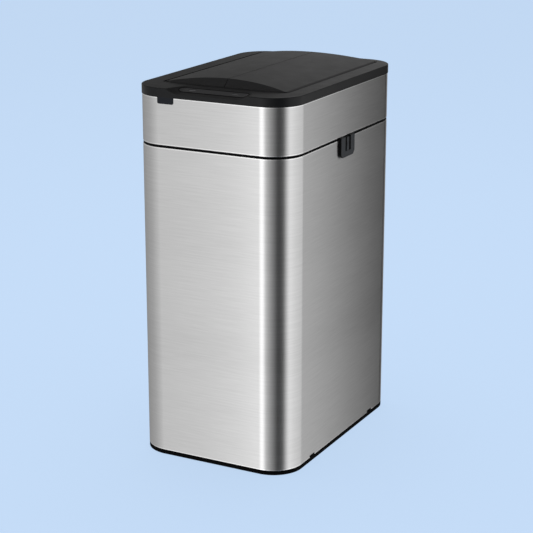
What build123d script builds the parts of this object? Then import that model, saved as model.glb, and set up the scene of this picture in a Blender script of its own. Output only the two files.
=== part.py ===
"""Sensor trash can: a tall stainless bin with a lift-off head and two motor-driven butterfly lid leaves.

Units are millimetres. +X is to the right, +Y to the back and +Z up. The origin is on the floor under
the middle of the bin, so the front faces -Y.
"""

import os
from math import atan2, cos, degrees, pi, radians, sin, sqrt

from build123d import *

# Steel wrap, measured over its outside.
width = 285.0
depth = 414.0
corner_radius = 52.0
sheet = 1.0

# Heights above the floor.
foot_stand = 1.2
shell_low = 8.0
seam_low = 529.0
seam_gap = 4.0
band_height = 77.5
skirt_height = 14.5

# Walls and clearances.
fit_gap = 0.2
body_gap = 0.3
wall = 2.5
top_plate = 3.0

# Base.
ring_inset = 0.3
ring_wall = 5.0
ring_taper_in = 1.7
ring_taper_up = 5.0
base_floor = 3.0
base_upstand = 22.0
pad_radius = 11.0
pad_thickness = 3.0
pad_corner_inset = 40.0
rib_count = 5
rib_width = 2.2
notch_width = 18.0
notch_height = 3.5
notch_from_end = 92.0

# Collar at the body's mouth and the head's lower ring that drops into it.
collar_depth = 32.0
collar_inset = 0.6
collar_flange = 2.5
tongue_clear = 0.5
tongue_wall = 2.2
tongue_depth = 21.0
liner_height = 42.0
liner_web = 3.0

# Lid frame.
skirt_proud = 0.8
skirt_wall = 3.0
skirt_fillet = 1.2
plug_depth = 24.0
throat_margin = 18.0
throat_wall = 2.5
throat_radius = 20.0
throat_drop = 25.5
trough_drop = 14.0
trough_floor = 2.5
seal_height = 2.7
opening_corner = 4.0

# Lid leaves.
side_ledge = 29.0
front_ledge = 54.6
back_ledge = 21.0
leaf_corner = 12.0
leaf_gap = 1.0
leaf_depth = 3.0
leaf_skin = 2.2
leaf_liner = 2.0
side_rise = 1.5
crown_rise = 11.5
front_run = 14.0
back_run = 18.0
hinge_radius = 8.0
rod_radius = 2.0
rod_clear = 0.05
frame_gap = 1.0
crest_fillet = 1.0

# Scoop in the front edge, and the sensor window and keys in it.
scoop_half_width = 75.0
scoop_drop = 7.5
scoop_run = 41.0
scoop_radius = 40.0
scoop_plate = 3.5
window_length = 124.0
window_height = 19.0
window_thickness = 1.6
window_back = 22.0
key_spacing = 77.4
key_radius = 6.8
key_clear = 0.3
key_height = 4.6
key_flange = 0.7
key_lip = 1.0
key_travel = 0.6
dome_radius = 3.0
board_drop = 6.5
board_thickness = 1.6
board_length = 112.0
board_height = 16.0
post_spacing = 100.0
post_radius = 2.5
sensor_radius = 2.5
sensor_spacing = 18.0

# Front tab under the skirt.
tab_width = 29.0
tab_height = 10.5
tab_centre = -76.5
tab_radius = 2.5

# Side latches.
latch_width = 52.0
latch_height = 34.5
latch_proud = 4.4
latch_corner = 9.0
latch_shoulder = 2.5
latch_floor = 10.0
slot_inner = 4.5
slot_outer = 10.0
tongue_thick = 2.4
tongue_foot = 0.9
tongue_relief = 0.9
window_margin = 1.5
grip_ribs = 3

# Drive: a gearmotor under each front corner turns a toothed sector on the leaf's rod.
gear_module = 1.0
leaf_teeth = 24
pinion_teeth = 12
sector_teeth = 7
addendum = 0.8
root_depth = 1.2
pressure_angle = 20.0
backlash = 0.16
gear_thickness = 5.0
gear_clear = 2.1
gear_hub = 3.1
pinion_shaft = 1.5
pinion_shaft_length = 11.0
gearbox_width = 28.0
gearbox_depth = 23.0
gearbox_height = 28.0
gearbox_gap = 3.0
motor_radius = 10.0
motor_length = 26.0

# Battery housing under the front ledge.
housing_width = 150.0
housing_depth = 42.0
housing_height = 24.0
housing_wall = 2.0
housing_floor = 3.0
housing_drop = 2.5
housing_gap = 1.9
cell_radius = 7.15
cell_length = 50.0
cell_pitch = 15.2
contact_thickness = 1.2
contact_size = 11.0
door_margin = 0.8
pin_radius = 0.8
pin_length = 1.6
switch_width = 14.0
switch_depth = 8.0
switch_inset = 13.0
switch_tilt = 6.0
boss_radius = 4.0
screw_radius = 1.5
screw_head = 3.0

# Levels and places worked out from the sizes above.
seam_high = seam_low + seam_gap
band_top = seam_high + band_height
ledge = band_top + skirt_height
crown = ledge + crown_rise
plate_under = ledge - top_plate
liner_inset = sheet + fit_gap
leaf_under = ledge - leaf_depth
leaf_side_top = ledge + side_rise
leaf_half_width = width / 2 - side_ledge
leaf_front = front_ledge - depth / 2
leaf_back = depth / 2 - back_ledge
hinge_x = leaf_half_width - hinge_radius
hinge_z = leaf_side_top - hinge_radius
crown_drop = crown - leaf_side_top
crown_radius = (hinge_x**2 + crown_drop**2) / (2 * crown_drop)
leaf_length = leaf_back - leaf_front
leaf_middle = (leaf_back + leaf_front) / 2
opening_half = leaf_half_width + frame_gap
opening_front = leaf_front - frame_gap
opening_back = leaf_back + frame_gap
opening_length = opening_back - opening_front
throat_top = leaf_under - body_gap - seal_height
throat_low = band_top - throat_drop
front_face = -depth / 2 - skirt_proud
scoop_angle = degrees(atan2(scoop_drop, scoop_run))
gear_back = opening_front - wall - gear_clear
gear_centres = gear_module * (leaf_teeth + pinion_teeth) / 2
pinion_z = hinge_z - gear_centres
gearbox_back = gear_back - gear_thickness - gearbox_gap
housing_front = -depth / 2 + liner_inset + wall + housing_gap
housing_top = band_top - housing_drop
housing_middle = housing_front + housing_depth / 2
housing_low = housing_top - housing_height
switch_x = housing_width / 2 - switch_inset
window_plane = Plane(
    origin=(
        0,
        front_face + window_back * cos(radians(scoop_angle)),
        ledge - scoop_drop + window_back * sin(radians(scoop_angle)),
    ),
    x_dir=(1, 0, 0),
    z_dir=(0, -sin(radians(scoop_angle)), cos(radians(scoop_angle))),
)


def wrap(inset, mode=Mode.ADD):
    """The bin's rounded plan outline, moved in from the steel's outside by inset."""
    return RectangleRounded(
        width - 2 * inset, depth - 2 * inset, corner_radius - inset, mode=mode
    )


def wrap_ring(low, high, outer, inner, mode=Mode.ADD):
    """A ring that follows the plan outline between two insets and two heights."""
    with BuildSketch(Plane.XY.offset(low)) as ring:
        wrap(outer)
        wrap(inner, mode=Mode.SUBTRACT)
    extrude(ring.sketch, amount=high - low, mode=mode)


def opening_ring(low, high, outer, inner, radius):
    """A ring round the lid opening, from inner to outer millimetres outside its edge."""
    with BuildSketch(Plane.XY.offset(low)) as ring:
        with Locations((0, leaf_middle)):
            Rectangle(2 * (opening_half + outer), opening_length + 2 * outer)
            RectangleRounded(
                2 * (opening_half + inner),
                opening_length + 2 * inner,
                radius,
                mode=Mode.SUBTRACT,
            )
    extrude(ring.sketch, amount=high - low)


def throat_ring(low, high):
    """The wall round the throat, between two heights."""
    half = opening_half - throat_margin
    length = opening_length - 2 * throat_margin
    with BuildSketch(Plane.XY.offset(low)) as ring:
        with Locations((0, leaf_middle)):
            RectangleRounded(2 * half, length, throat_radius)
            RectangleRounded(
                2 * (half - throat_wall),
                length - 2 * throat_wall,
                throat_radius - throat_wall,
                mode=Mode.SUBTRACT,
            )
    extrude(ring.sketch, amount=high - low)


def housing_discs(radius):
    """Four discs at the corners of the battery housing."""
    inset = 2 * boss_radius
    with GridLocations(housing_width - inset, housing_depth - inset, 2, 2):
        Circle(radius)


def save(piece, name):
    """Labels a finished piece and writes it under its node name."""
    piece.label = name
    export_step(piece, f"parts/{name}.step")


def save_pair(piece, name):
    """Writes a right-hand piece and its mirror image on the left."""
    save(piece, f"right_{name}")
    save(mirror(piece, about=Plane.YZ), f"left_{name}")


def crown_height(x):
    """Height of the lid's crowned top at a distance x from the middle."""
    return crown - crown_radius + sqrt(crown_radius**2 - x**2)


def slope_cut(foot, run, inset, back):
    """The plane of a leaf's sloping end, moved inside the leaf by inset.

    It passes through the ledge level at y = foot and rises by the crown over run.
    """
    sense = 1 if back else -1
    normal = Vector(0, sense * crown_rise, run).normalized()
    return Plane(origin=Vector(0, foot, ledge) - normal * inset, z_dir=normal)


def facing_front(y, z):
    """A plane that faces the front, with its origin on the right drive's line at y and z."""
    return Plane(origin=(hinge_x, y, z), x_dir=(1, 0, 0), z_dir=(0, -1, 0))


def involute(base, radius):
    """Angle in radians that an involute has unrolled by where it reaches radius."""
    unrolled = sqrt(max((radius / base) ** 2 - 1, 0))
    return unrolled - atan2(unrolled, 1)


def tooth_points(teeth, centre):
    """Flank and tip points of one gear tooth whose middle is at angle centre, in degrees."""
    pitch = gear_module * teeth / 2
    base = pitch * cos(radians(pressure_angle))
    root = pitch - gear_module * root_depth
    tip = pitch + gear_module * addendum
    half = (pi * gear_module / 2 - backlash) / (2 * pitch) + involute(base, pitch)
    start = max(base, root)
    radii = [root] + [start + (tip - start) * step / 4 for step in range(5)]
    offsets = [half - involute(base, max(radius, base)) for radius in radii]
    rising = [(r, centre - degrees(a)) for r, a in zip(radii, offsets)]
    falling = [(r, centre + degrees(a)) for r, a in zip(radii, offsets)]
    return [
        (r * cos(radians(a)), r * sin(radians(a))) for r, a in rising + falling[::-1]
    ]


os.makedirs("parts", exist_ok=True)

# Stainless wrap of the body, with four windows in its foot and a notch behind each latch.
with BuildPart() as body_shell:
    wrap_ring(shell_low, seam_low, 0, sheet)
    with BuildSketch(Plane.XY.offset(shell_low)):
        with GridLocations(width, depth - 2 * notch_from_end, 2, 2):
            Rectangle(4 * sheet, notch_width)
    extrude(amount=notch_height, mode=Mode.SUBTRACT)
    with BuildSketch(Plane.XY.offset(seam_low - latch_height + latch_floor)):
        with GridLocations(width, 0, 2, 1):
            Rectangle(4 * sheet, 2 * slot_inner + 2 * window_margin)
    extrude(amount=latch_height, mode=Mode.SUBTRACT)
save(body_shell.part, "body_shell")

# Moulded base: tapered ring on show, floor, upstand inside the steel, ribs and foot bosses.
pad_x = width / 2 - pad_corner_inset
pad_y = depth / 2 - pad_corner_inset
with BuildPart() as base_tray:
    with BuildSketch(Plane.XY.offset(foot_stand)):
        wrap(ring_inset)
    extrude(amount=shell_low - foot_stand)
    chamfer(
        base_tray.faces().sort_by(Axis.Z)[0].outer_wire().edges(),
        length=ring_taper_in,
        length2=ring_taper_up,
    )
    with BuildSketch(Plane.XY.offset(foot_stand)):
        wrap(ring_inset + ring_wall)
    extrude(amount=shell_low - foot_stand, mode=Mode.SUBTRACT)
    with BuildSketch(Plane.XY.offset(shell_low)):
        wrap(liner_inset)
    extrude(amount=base_floor)
    wrap_ring(shell_low, shell_low + base_upstand, liner_inset, liner_inset + wall)
    rib_step = (depth - 2 * corner_radius) / (rib_count - 1)
    with BuildSketch(Plane.XY.offset(foot_stand + base_floor / 2)):
        with GridLocations(0, rib_step, 1, rib_count):
            Rectangle(width - 2 * ring_wall, rib_width)
        Rectangle(rib_width, depth - 2 * ring_wall)
    extrude(amount=shell_low - foot_stand - base_floor / 2)
    with BuildSketch(Plane.XY.offset(foot_stand)):
        with GridLocations(2 * pad_x, 2 * pad_y, 2, 2):
            Circle(pad_radius + wall)
    extrude(amount=shell_low - foot_stand)
    with BuildSketch(Plane.XY.offset(foot_stand)):
        with GridLocations(2 * pad_x, 2 * pad_y, 2, 2):
            Circle(pad_radius + fit_gap)
    extrude(amount=pad_thickness - foot_stand, mode=Mode.SUBTRACT)
    with BuildSketch(Plane.XY.offset(shell_low)):
        with GridLocations(width - 2 * liner_inset, depth - 2 * notch_from_end, 2, 2):
            Rectangle(2 * (liner_inset - fit_gap), notch_width - 2 * fit_gap)
    extrude(amount=notch_height - fit_gap)
save(base_tray.part, "base_tray")

# Rubber feet in the base's bosses.
with BuildPart() as foot_pads:
    with BuildSketch():
        with GridLocations(2 * pad_x, 2 * pad_y, 2, 2):
            Circle(pad_radius)
    extrude(amount=pad_thickness)
    chamfer(foot_pads.faces().group_by(Axis.Z)[0].edges(), length=foot_stand / 2)
save(foot_pads.part, "foot_pads")

# Collar at the body's mouth. Its flange is the dark line between the two steel wraps.
with BuildPart() as rim_collar:
    wrap_ring(seam_low - collar_depth, seam_low, liner_inset, liner_inset + wall)
    wrap_ring(seam_low, seam_low + collar_flange, collar_inset, liner_inset + wall)
save(rim_collar.part, "rim_collar")

# Side latch: a plate hooked over the body's steel edge, slotted each side of a springy tongue.
latch_top = seam_high - body_gap
latch_low = latch_top - latch_height
tongue_out = width / 2 + latch_proud - body_gap
tongue_in = tongue_out - tongue_thick
tongue_middle = (tongue_in + tongue_out) / 2
tongue_pivot = latch_low + latch_floor
tongue_tip = latch_top - tongue_relief
latch_plane = Plane(origin=(width / 2, 0, 0), x_dir=(0, 1, 0), z_dir=(1, 0, 0))
with BuildPart() as latch_plate:
    with BuildSketch(latch_plane):
        with Locations((0, latch_low + latch_height / 2)):
            Rectangle(latch_width, latch_height)
    extrude(amount=latch_proud)
    upright = latch_plate.edges().filter_by(Axis.X)
    fillet(upright.group_by(Axis.Z)[0], radius=latch_corner)
    fillet(
        latch_plate.edges().filter_by(Axis.X).group_by(Axis.Z)[-1],
        radius=latch_shoulder,
    )
    fillet(
        latch_plate.faces().sort_by(Axis.X)[-1].outer_wire().edges(), radius=sheet
    )
    with BuildSketch(Plane.XY.offset(seam_low)):
        with Locations((width / 2 - collar_inset / 2, 0)):
            Rectangle(collar_inset, latch_width - 2 * latch_shoulder)
    extrude(amount=collar_flange)
    with BuildSketch(Plane.XY.offset(latch_low + latch_floor)):
        with Locations((width / 2, 0)):
            Rectangle(4 * latch_proud, 2 * slot_outer)
    extrude(amount=latch_height, mode=Mode.SUBTRACT)
    with BuildSketch(Plane.XZ.offset(-slot_inner)):
        with Locations((tongue_middle, tongue_pivot)):
            Circle(tongue_foot + rod_clear)
    extrude(amount=2 * slot_inner, mode=Mode.SUBTRACT)
save_pair(latch_plate.part, "latch_plate")

# The latch's tongue: a round foot in the plate's groove, and finger ribs across its middle.
with BuildPart() as latch_tongue:
    with BuildSketch(Plane.XZ.offset(-slot_inner)):
        with BuildLine():
            Polyline(
                (tongue_in, tongue_pivot + body_gap),
                (tongue_out, tongue_pivot + body_gap),
                (tongue_out, tongue_tip - tongue_thick / 2),
                (tongue_out - tongue_thick / 2, tongue_tip),
                (tongue_in, tongue_tip),
                close=True,
            )
        make_face()
        with Locations((tongue_middle, tongue_pivot)):
            Circle(tongue_foot)
    extrude(amount=2 * slot_inner)
    with BuildSketch(Plane.YZ.offset(tongue_out)):
        with Locations((0, (tongue_pivot + tongue_tip) / 2)):
            with GridLocations(0, tongue_thick, 1, grip_ribs):
                Rectangle(2 * slot_inner - 2 * sheet, sheet)
    extrude(amount=body_gap)
save_pair(latch_tongue.part, "latch_tongue")

# Stainless band of the head.
with BuildPart() as head_band:
    wrap_ring(seam_high, band_top, 0, sheet)
save(head_band.part, "head_band")

# Lower ring of the head: inside the band, stepped in to drop into the collar.
tongue_inset = liner_inset + wall + tongue_clear
lip_low = seam_low + collar_flange + body_gap
with BuildPart() as head_liner:
    wrap_ring(seam_high, seam_high + liner_height, liner_inset, liner_inset + wall)
    wrap_ring(
        seam_high, seam_high + liner_web, liner_inset, tongue_inset + tongue_wall
    )
    wrap_ring(lip_low, seam_high, collar_inset, tongue_inset + tongue_wall)
    wrap_ring(
        seam_low - tongue_depth, seam_high, tongue_inset, tongue_inset + tongue_wall
    )
save(head_liner.part, "head_liner")

# Scoop profile, seen from the front: flat in the middle, an arc up to the ledge at each end.
arc_run = sqrt(scoop_radius**2 - (scoop_radius - scoop_drop) ** 2)
flat_half = scoop_half_width - arc_run
arc_middle = arc_run / 2
arc_lift = scoop_radius - sqrt(scoop_radius**2 - arc_middle**2)


def scoop_block(lower, above, inset):
    """A prism up the scoop's slope, from the profile lowered to height above, inset in plan."""
    low = ledge - scoop_drop - lower
    side = ledge - lower
    with BuildPart() as block:
        with BuildSketch(Plane.XZ.offset(-front_face)):
            with BuildLine():
                Polyline(
                    (scoop_half_width, side),
                    (scoop_half_width, above),
                    (-scoop_half_width, above),
                    (-scoop_half_width, side),
                )
                ThreePointArc(
                    (-scoop_half_width, side),
                    (-flat_half - arc_middle, low + arc_lift),
                    (-flat_half, low),
                )
                Line((-flat_half, low), (flat_half, low))
                ThreePointArc(
                    (flat_half, low),
                    (flat_half + arc_middle, low + arc_lift),
                    (scoop_half_width, side),
                )
            make_face()
        extrude(
            amount=1.5 * scoop_run,
            dir=(0, cos(radians(scoop_angle)), sin(radians(scoop_angle))),
        )
        with BuildSketch(Plane.XY.offset(band_top)):
            wrap(inset)
        extrude(amount=above - band_top, mode=Mode.INTERSECT)
    return block.part


# Lid frame: skirt, ledge, scoop, hinge trough and throat in one moulding.
with BuildPart() as lid_frame:
    with BuildSketch(Plane.XY.offset(band_top)):
        wrap(-skirt_proud)
    extrude(amount=skirt_height)
    fillet(
        lid_frame.faces().sort_by(Axis.Z)[-1].outer_wire().edges(), radius=skirt_fillet
    )
    with BuildSketch(Plane.XY.offset(band_top)):
        wrap(skirt_wall - skirt_proud)
    extrude(amount=skirt_height - top_plate, mode=Mode.SUBTRACT)
    wrap_ring(band_top - plug_depth, plate_under, liner_inset, liner_inset + wall)
    add(scoop_block(scoop_plate, ledge - skirt_fillet, sheet))
    with BuildSketch(Plane.XY.offset(housing_top)):
        with Locations((0, housing_middle)):
            housing_discs(boss_radius)
    extrude(amount=ledge - housing_top)
    with BuildSketch(window_plane.offset(-board_drop)):
        with GridLocations(post_spacing, 0, 2, 1):
            Circle(post_radius)
    extrude(amount=board_drop - window_thickness)
    add(scoop_block(0, ledge + scoop_drop, -2 * sheet), mode=Mode.SUBTRACT)
    with BuildSketch(Plane.XY.offset(plate_under)):
        with Locations((0, leaf_middle)):
            RectangleRounded(2 * opening_half, opening_length, opening_corner)
    extrude(amount=2 * top_plate, mode=Mode.SUBTRACT)
    opening_ring(plate_under - trough_drop, plate_under, wall, 0, sheet)
    opening_ring(
        plate_under - trough_drop - trough_floor,
        plate_under - trough_drop,
        wall,
        -throat_margin,
        throat_radius,
    )
    throat_ring(throat_low, throat_top)
    with BuildSketch(Plane.XZ.offset(-opening_front + 2 * wall)):
        with Locations((-hinge_x, hinge_z), (hinge_x, hinge_z)):
            Circle(rod_radius + rod_clear)
    extrude(amount=-(opening_length + 4 * wall), mode=Mode.SUBTRACT)
    with BuildSketch(window_plane):
        SlotOverall(window_length + 2 * fit_gap, window_height + 2 * fit_gap)
    extrude(amount=-window_thickness, mode=Mode.SUBTRACT)
    with BuildSketch(window_plane):
        with GridLocations(key_spacing, 0, 2, 1):
            Circle(key_radius + key_clear)
        with GridLocations(sensor_spacing, 0, 2, 1):
            Circle(sensor_radius + fit_gap)
    extrude(amount=-2 * scoop_plate, mode=Mode.SUBTRACT)
save(lid_frame.part, "lid_frame")

# Foam seal that the leaves close on.
with BuildPart() as throat_seal:
    throat_ring(throat_top, throat_top + seal_height)
save(throat_seal.part, "throat_seal")

# Smoked sensor window, let into the scoop.
with BuildPart() as sensor_window:
    with BuildSketch(window_plane):
        SlotOverall(window_length, window_height)
        with GridLocations(key_spacing, 0, 2, 1):
            Circle(key_radius + key_clear, mode=Mode.SUBTRACT)
    extrude(amount=-window_thickness)
save(sensor_window.part, "sensor_window")

# The two keys, which press into the window.
for key_name, side in (("open_key", -1), ("close_key", 1)):
    with BuildPart() as key:
        with BuildSketch(window_plane):
            with Locations((side * key_spacing / 2, 0)):
                Circle(key_radius)
        extrude(amount=-key_height)
        with BuildSketch(window_plane.offset(-key_height)):
            with Locations((side * key_spacing / 2, 0)):
                Circle(key_radius + key_lip)
        extrude(amount=key_flange)
    save(key.part, key_name)

# Control board under the scoop, on the frame's two posts.
with BuildPart() as control_board:
    with BuildSketch(window_plane.offset(-board_drop)):
        Rectangle(board_length, board_height)
    extrude(amount=-board_thickness)
save(control_board.part, "control_board")

# Switch domes on the board, a key's travel below the keys.
with BuildPart() as key_domes:
    with BuildSketch(window_plane.offset(-board_drop)):
        with GridLocations(key_spacing, 0, 2, 1):
            Circle(dome_radius)
    extrude(amount=board_drop - key_height - key_travel - body_gap)
save(key_domes.part, "key_domes")

# Infrared emitter and receiver, which look up through the window.
with BuildPart() as infrared_pair:
    with BuildSketch(window_plane.offset(-board_drop)):
        with GridLocations(sensor_spacing, 0, 2, 1):
            Circle(sensor_radius)
    extrude(amount=board_drop - window_thickness - fit_gap)
save(infrared_pair.part, "infrared_pair")

# Blank tab that hangs from the skirt over the band's front.
with BuildPart() as front_tab:
    with BuildSketch(Plane.XZ.offset(-front_face)):
        with Locations((tab_centre, band_top - tab_height / 2)):
            Rectangle(tab_width, tab_height)
    extrude(amount=-skirt_proud)
    fillet(front_tab.edges().filter_by(Axis.Y).group_by(Axis.Z)[0], radius=tab_radius)
save(front_tab.part, "front_tab")

# Right leaf: crowned shell with sloping ends and a barrel along its hinge side.
inner_x = leaf_gap / 2


def leaf_block(inset, low, inner, outer):
    """The space under the crown from inner to outer, moved in from the leaf's skin by inset."""
    half = (inner + outer) / 2
    with BuildPart() as block:
        with BuildSketch(Plane.XZ.offset(-leaf_front - inset)):
            with BuildLine():
                Polyline(
                    (inner, crown_height(inner) - inset),
                    (inner, low),
                    (outer, low),
                    (outer, crown_height(outer) - inset),
                )
                ThreePointArc(
                    (inner, crown_height(inner) - inset),
                    (half, crown_height(half) - inset),
                    (outer, crown_height(outer) - inset),
                )
            make_face()
        extrude(amount=-(leaf_length - 2 * inset))
        split(bisect_by=slope_cut(leaf_front, front_run, inset, False), keep=Keep.BOTTOM)
        split(bisect_by=slope_cut(leaf_back, back_run, inset, True), keep=Keep.BOTTOM)
    return block.part


cavity_outer = hinge_x - hinge_radius - leaf_skin
with BuildPart() as leaf:
    add(leaf_block(0, leaf_under, inner_x, hinge_x))
    with BuildSketch(Plane.XZ.offset(-leaf_front)):
        with Locations((hinge_x, hinge_z)):
            Circle(hinge_radius)
    extrude(amount=-leaf_length)
    split(bisect_by=slope_cut(leaf_front, front_run, 0, False), keep=Keep.BOTTOM)
    split(bisect_by=slope_cut(leaf_back, back_run, 0, True), keep=Keep.BOTTOM)
    with BuildSketch(Plane.XY.offset(hinge_z - hinge_radius)):
        with Locations((0, leaf_middle)):
            RectangleRounded(2 * leaf_half_width, leaf_length, leaf_corner)
    extrude(amount=2 * crown_rise + hinge_radius, mode=Mode.INTERSECT)
    crest = leaf.faces().filter_by(GeomType.CYLINDER).sort_by(SortBy.AREA)[-1]
    fillet(crest.edges().filter_by(GeomType.ELLIPSE), radius=crest_fillet)
    add(
        leaf_block(leaf_skin, leaf_under, inner_x + leaf_skin, cavity_outer),
        mode=Mode.SUBTRACT,
    )
    with BuildSketch(Plane.XZ.offset(-leaf_front)):
        with Locations((hinge_x, hinge_z)):
            Circle(rod_radius)
    extrude(amount=-leaf_length, mode=Mode.SUBTRACT)
save_pair(leaf.part, "leaf")

# Flat cover that closes the leaf from below.
cover_inset = leaf_skin + 2 * fit_gap
with BuildPart() as leaf_cover:
    with BuildSketch(Plane.XY.offset(leaf_under)):
        with Locations(((inner_x + leaf_skin + cavity_outer) / 2, leaf_middle)):
            Rectangle(cavity_outer - inner_x - leaf_skin, leaf_length - 2 * cover_inset)
    extrude(amount=leaf_liner)
save_pair(leaf_cover.part, "leaf_cover")

# Steel rod through the leaf's barrel, carried in the frame at both ends.
with BuildPart() as hinge_rod:
    with BuildSketch(Plane.XZ.offset(-(gear_back - gear_thickness - body_gap))):
        with Locations((hinge_x, hinge_z)):
            Circle(rod_radius)
    extrude(amount=-(opening_back + 2 * wall - gear_back + gear_thickness + body_gap))
    chamfer(hinge_rod.edges().filter_by(GeomType.CIRCLE), length=body_gap)
save_pair(hinge_rod.part, "hinge_rod")

# Toothed sector on the rod. Its teeth run from straight down to the outer side.
straight_down = -90.0
straight_up = 90.0
first_tooth = straight_down
tooth_step = 360.0 / leaf_teeth
with BuildPart() as leaf_gear:
    with BuildSketch(facing_front(gear_back, hinge_z)):
        with BuildLine():
            teeth_line = [
                point
                for number in range(sector_teeth)
                for point in tooth_points(leaf_teeth, first_tooth + number * tooth_step)
            ]
            Polyline(*teeth_line, (0, 0), close=True)
        make_face()
        Circle(gear_hub)
        Circle(rod_radius, mode=Mode.SUBTRACT)
    extrude(amount=gear_thickness)
save_pair(leaf_gear.part, "leaf_gear")

# Pinion and its shaft. A gap between two teeth faces the sector.
pinion_step = 360.0 / pinion_teeth
with BuildPart() as pinion:
    with BuildSketch(facing_front(gear_back, pinion_z)):
        with BuildLine():
            pinion_line = [
                point
                for number in range(pinion_teeth)
                for point in tooth_points(
                    pinion_teeth, straight_up + (number + 0.5) * pinion_step
                )
            ]
            Polyline(*pinion_line, close=True)
        make_face()
    extrude(amount=gear_thickness)
    with BuildSketch(facing_front(gear_back, pinion_z)):
        Circle(pinion_shaft)
    extrude(amount=gear_thickness + pinion_shaft_length)
save_pair(pinion.part, "pinion")

# Gearbox with its motor hanging below, bored for the pinion's shaft.
with BuildPart() as gearmotor:
    with BuildSketch(Plane.XY.offset(pinion_z - gearbox_height / 2)):
        with Locations((hinge_x, gearbox_back - gearbox_depth / 2)):
            RectangleRounded(gearbox_width, gearbox_depth, wall)
    extrude(amount=gearbox_height)
    chamfer(gearmotor.faces().sort_by(Axis.Z)[-1].edges(), length=sheet)
    with BuildSketch(Plane.XY.offset(pinion_z - gearbox_height / 2 - motor_length)):
        with Locations((hinge_x, gearbox_back - gearbox_depth / 2)):
            Circle(motor_radius)
            Rectangle(
                2 * motor_radius + fit_gap,
                1.5 * motor_radius,
                mode=Mode.INTERSECT,
            )
    extrude(amount=motor_length)
    with BuildSketch(facing_front(gearbox_back, pinion_z)):
        Circle(pinion_shaft + rod_clear)
    extrude(amount=pinion_shaft_length - gearbox_gap + sheet, mode=Mode.SUBTRACT)
    with BuildSketch(Plane.XY.offset(pinion_z + gearbox_height / 2)):
        with Locations((hinge_x, gearbox_back - gearbox_depth / 2)):
            with GridLocations(gearbox_width - 4 * wall, 0, 2, 1):
                Circle(boss_radius / 2)
    extrude(amount=plate_under - pinion_z - gearbox_height / 2)
save_pair(gearmotor.part, "gearmotor")

# Battery housing: an open-topped tray with a door opening and a switch hole in its floor.
door_width = 2 * (cell_length + door_margin)
door_depth = 2 * cell_pitch + 2 * door_margin
door_pin_y = housing_middle + door_depth / 2 - housing_floor / 2
stop_face = cell_length + contact_thickness
floor_middle = housing_low + housing_floor / 2
cavity_low = housing_low + housing_floor
with BuildPart() as battery_housing:
    with BuildSketch(Plane.XY.offset(housing_low)):
        with Locations((0, housing_middle)):
            RectangleRounded(housing_width, housing_depth, 2 * housing_wall)
    extrude(amount=housing_height)
    with BuildSketch(Plane.XY.offset(cavity_low)):
        with Locations((0, housing_middle)):
            Rectangle(housing_width - 2 * housing_wall, housing_depth - 2 * housing_wall)
    extrude(amount=housing_height, mode=Mode.SUBTRACT)
    with BuildSketch(Plane.XY.offset(housing_low)):
        with Locations((0, housing_middle)):
            housing_discs(boss_radius)
    extrude(amount=housing_height)
    with BuildSketch(Plane.XY.offset(cavity_low)):
        with Locations((0, housing_middle)):
            with GridLocations(2 * stop_face + housing_wall, 0, 2, 1):
                Rectangle(housing_wall, housing_depth - 2 * housing_wall)
    extrude(amount=2 * cell_radius)
    with BuildSketch(Plane.XY.offset(housing_low)):
        with Locations((0, housing_middle)):
            Rectangle(door_width + 2 * body_gap, door_depth + 2 * body_gap)
        with Locations((switch_x, housing_middle)):
            Rectangle(switch_depth + 2 * body_gap, switch_width + 4 * body_gap)
    extrude(amount=housing_floor, mode=Mode.SUBTRACT)
    with BuildSketch(Plane.XY.offset(housing_low)):
        with Locations((0, housing_middle)):
            housing_discs(screw_radius)
    extrude(amount=housing_height, mode=Mode.SUBTRACT)
    with BuildSketch(Plane.YZ):
        with Locations((door_pin_y, floor_middle)):
            Circle(pin_radius + rod_clear)
    extrude(amount=door_width / 2 + pin_length + body_gap, both=True, mode=Mode.SUBTRACT)
    with BuildSketch(Plane.YZ.offset(switch_x)):
        with Locations((housing_middle, floor_middle)):
            Circle(pin_radius + rod_clear)
    extrude(amount=switch_depth / 2 + pin_length + body_gap, both=True, mode=Mode.SUBTRACT)
save(battery_housing.part, "battery_housing")

# Four cells, two in line on each side.
cell_z = cavity_low + cell_radius + body_gap
with BuildPart() as battery_cells:
    for start in (-cell_length, fit_gap):
        with BuildSketch(Plane.YZ.offset(start)):
            with Locations((housing_middle, cell_z)):
                with GridLocations(cell_pitch, 0, 2, 1):
                    Circle(cell_radius)
        extrude(amount=cell_length - fit_gap)
save(battery_cells.part, "battery_cells")

# Contact plates between the cells' ends and the housing's stops.
with BuildPart() as battery_contacts:
    for start in (-stop_face, cell_length):
        with BuildSketch(Plane.YZ.offset(start)):
            with Locations((housing_middle, cell_z)):
                with GridLocations(cell_pitch, 0, 2, 1):
                    Rectangle(contact_size, contact_size)
        extrude(amount=contact_thickness)
save(battery_contacts.part, "battery_contacts")

# Door under the cells, on two pins along its back edge.
with BuildPart() as battery_door:
    with BuildSketch(Plane.XY.offset(housing_low)):
        with Locations((0, housing_middle)):
            Rectangle(door_width, door_depth)
    extrude(amount=housing_floor - fit_gap)
    fillet(
        battery_door.edges().filter_by(Axis.X).group_by(Axis.Y)[-1],
        radius=housing_floor / 2 - fit_gap,
    )
    with BuildSketch(Plane.XY.offset(housing_low - sheet)):
        with Locations((0, housing_middle - door_depth / 4)):
            with GridLocations(0, 2 * sheet, 1, grip_ribs):
                Rectangle(door_width / 4, sheet)
    extrude(amount=sheet)
    with BuildSketch(Plane.YZ):
        with Locations((door_pin_y, floor_middle)):
            Circle(pin_radius)
    extrude(amount=door_width / 2 + pin_length, both=True)
save(battery_door.part, "battery_door")

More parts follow.
